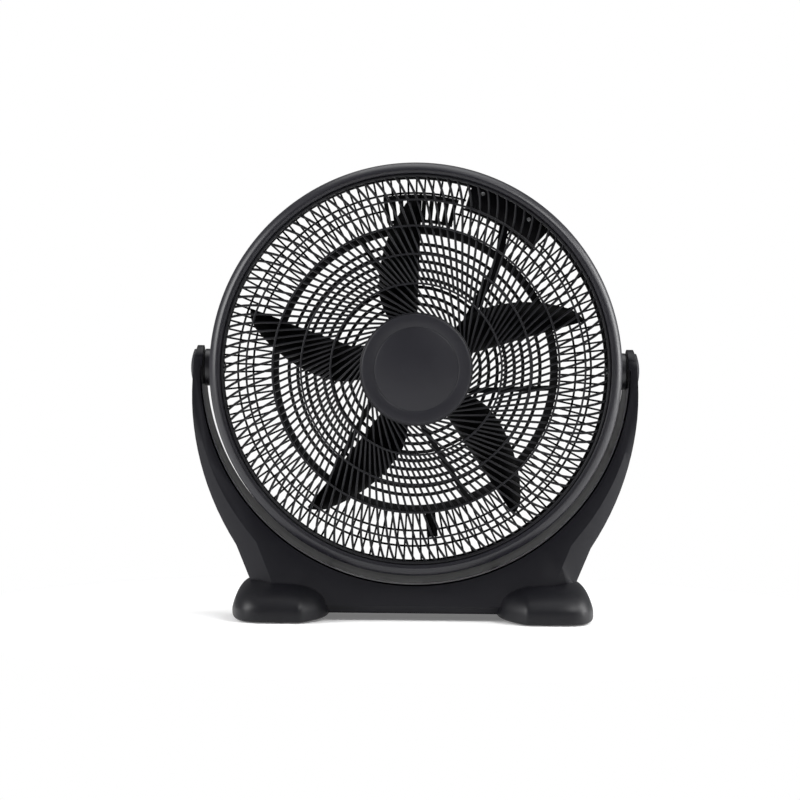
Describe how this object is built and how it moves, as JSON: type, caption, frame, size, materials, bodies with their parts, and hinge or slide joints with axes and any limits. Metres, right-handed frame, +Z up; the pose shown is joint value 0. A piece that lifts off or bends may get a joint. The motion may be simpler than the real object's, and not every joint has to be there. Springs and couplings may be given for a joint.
{
  "type": "floor fan",
  "caption": "Round floor fan: a drum head with swirl guard and bladed rotor tilts on two side pivots in a U-shaped cradle on two moulded shoes.",
  "frame": {"origin": "on the floor under the middle of the fan", "axes": "+Z up, air leaves towards -Y, +X to the right as seen from the front, through the tilt pivots"},
  "size_m": [0.5686, 0.1898, 0.572],
  "materials": {
    "body_plastic": "fine-grained moulding",
    "guard_plastic": "satin moulding",
    "trim_plastic": "smooth satin",
    "blade_plastic": "satin moulding",
    "part_plastic": "plain moulding",
    "zinc_steel": "zinc plated",
    "motor_steel": "grey paint",
    "lamination": "stacked sheet",
    "bronze": "sintered bronze",
    "copper_wire": "enamelled copper",
    "rubber": "matt"
  },
  "bodies": {
    "stand": {"cradle_body": "body_plastic", "cradle_front": "body_plastic", "cradle_screws": "zinc_steel", "shoe_left": "body_plastic", "shoe_right": "body_plastic", "shoe_pads": "rubber", "shoe_screws": "zinc_steel", "pivot_cap_left": "trim_plastic", "pivot_cap_right": "trim_plastic", "friction_washers": "rubber"},
    "head": {"drum": "body_plastic", "front_grille": "guard_plastic", "hub_cap": "trim_plastic", "rear_grille": "guard_plastic", "rear_grille_screws": "zinc_steel", "switch_box": "body_plastic", "control_panel": "body_plastic", "switch_box_screws": "zinc_steel", "rotary_switch": "part_plastic", "capacitor": "part_plastic", "cord_gland": "rubber", "lead_conduit": "body_plastic", "motor_lead": "rubber", "motor_rear_shell": "motor_steel", "motor_front_shell": "motor_steel", "stator": "lamination", "windings": "copper_wire", "motor_bolts": "zinc_steel", "motor_mount_screws": "zinc_steel", "rear_bearing": "bronze", "front_bearing": "bronze", "motor_cover": "body_plastic", "motor_cover_screws": "zinc_steel", "pivot_bolt_left": "zinc_steel", "pivot_bolt_right": "zinc_steel", "pivot_nuts": "zinc_steel"},
    "rotor": {"motor_shaft": "zinc_steel", "rotor_core": "lamination", "fan_blade": "blade_plastic", "blade_pin": "zinc_steel", "blade_nut": "trim_plastic"},
    "knob": {"switch_spindle": "zinc_steel", "speed_knob": "trim_plastic"}
  },
  "joints": [
    {"name": "head_tilt", "type": "hinge", "parent": "stand", "child": "head", "pos_m": [0, 0, 0.315], "axis": [-1, 0, 0], "range_deg": [-20, 90]},
    {"name": "fan_spin", "type": "hinge", "parent": "head", "child": "rotor", "pos_m": [0, 0, 0.315], "axis": [0, 1, 0], "continuous": true},
    {"name": "speed_knob_turn", "type": "hinge", "parent": "head", "child": "knob", "pos_m": [0.11613, 0.07, 0.51613], "axis": [0, -1, 0], "range_deg": [0, 135]}
  ]
}
